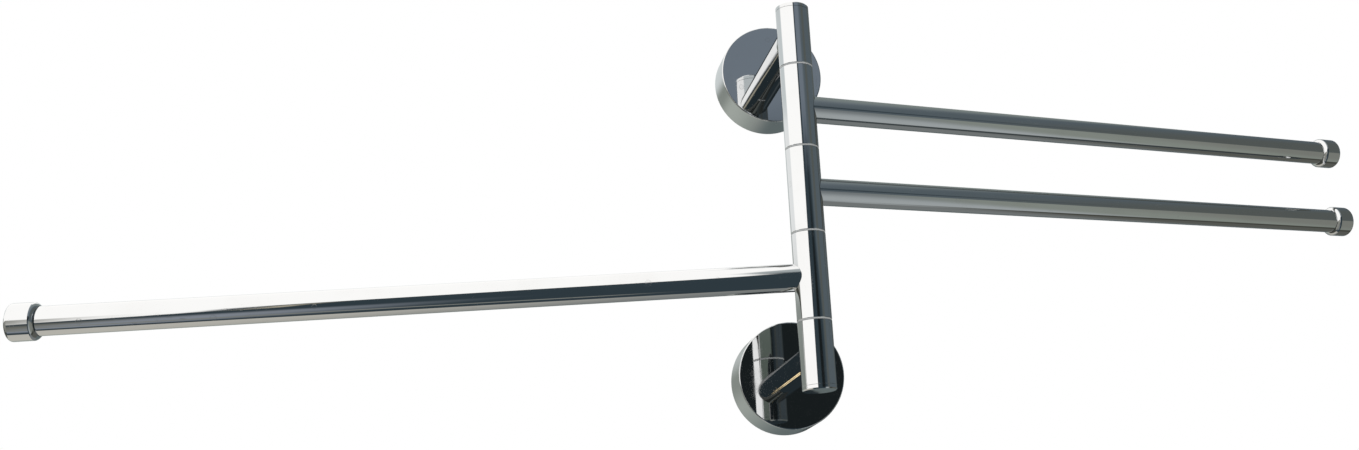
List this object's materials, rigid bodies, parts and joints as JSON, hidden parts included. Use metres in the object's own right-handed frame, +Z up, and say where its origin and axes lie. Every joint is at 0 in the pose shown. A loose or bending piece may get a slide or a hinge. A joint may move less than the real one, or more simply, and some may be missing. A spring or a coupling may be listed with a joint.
{
  "type": "swivel towel rail",
  "caption": "Chrome wall-mounted swivel towel rail: round wall flanges carry an upright column whose hubs let the towel arms swing out from the wall, each on its own.",
  "frame": {"origin": "on the wall plane, midway between the two flanges, at the centre of the four wall-screw holes", "axes": "+X along the wall to the right, +Y into the wall, +Z up along the column"},
  "size_m": [0.8406, 0.094, 0.2596],
  "materials": {
    "chrome": "mirror-polished chrome plate",
    "zinc": "plain cast zinc, matt",
    "steel": "bright zinc-plated steel",
    "nylon": "pale natural nylon"
  },
  "bodies": {
    "bracket": {"wall_plate_upper": "zinc", "flange_cover_upper": "chrome", "post_upper": "chrome", "wall_plate_lower": "zinc", "flange_cover_lower": "chrome", "post_lower": "chrome", "post_screws": "steel", "set_screws": "steel", "centre_rod": "steel", "sleeve_top": "chrome", "rod_seat_top": "zinc", "column_cap_top": "chrome", "sleeve_bottom": "chrome", "rod_seat_bottom": "zinc", "column_cap_bottom": "chrome", "rod_washers": "steel", "rod_nuts": "steel", "spacer_ring_1": "nylon", "spacer_ring_2": "nylon", "spacer_ring_3": "nylon", "spacer_ring_4": "nylon"},
    "upper_arm": {"hub_upper": "chrome", "hub_bush_upper_top": "nylon", "hub_bush_upper_bottom": "nylon", "arm_tube_upper": "chrome", "arm_cap_upper": "chrome"},
    "middle_arm": {"hub_middle": "chrome", "hub_bush_middle_top": "nylon", "hub_bush_middle_bottom": "nylon", "arm_tube_middle": "chrome", "arm_cap_middle": "chrome"},
    "lower_arm": {"hub_lower": "chrome", "hub_bush_lower_top": "nylon", "hub_bush_lower_bottom": "nylon", "arm_tube_lower": "chrome", "arm_cap_lower": "chrome"}
  },
  "joints": [
    {"name": "upper_arm_swing", "type": "hinge", "parent": "bracket", "child": "upper_arm", "pos_m": [0, -0.084, 0.0515], "axis": [0, 0, 1], "range_deg": [-199.58, 0]},
    {"name": "middle_arm_swing", "type": "hinge", "parent": "bracket", "child": "middle_arm", "pos_m": [0, -0.084, 0], "axis": [0, 0, 1], "range_deg": [-199.58, 0]},
    {"name": "lower_arm_swing", "type": "hinge", "parent": "bracket", "child": "lower_arm", "pos_m": [0, -0.084, -0.0515], "axis": [0, 0, 1], "range_deg": [0, 199.58]}
  ]
}
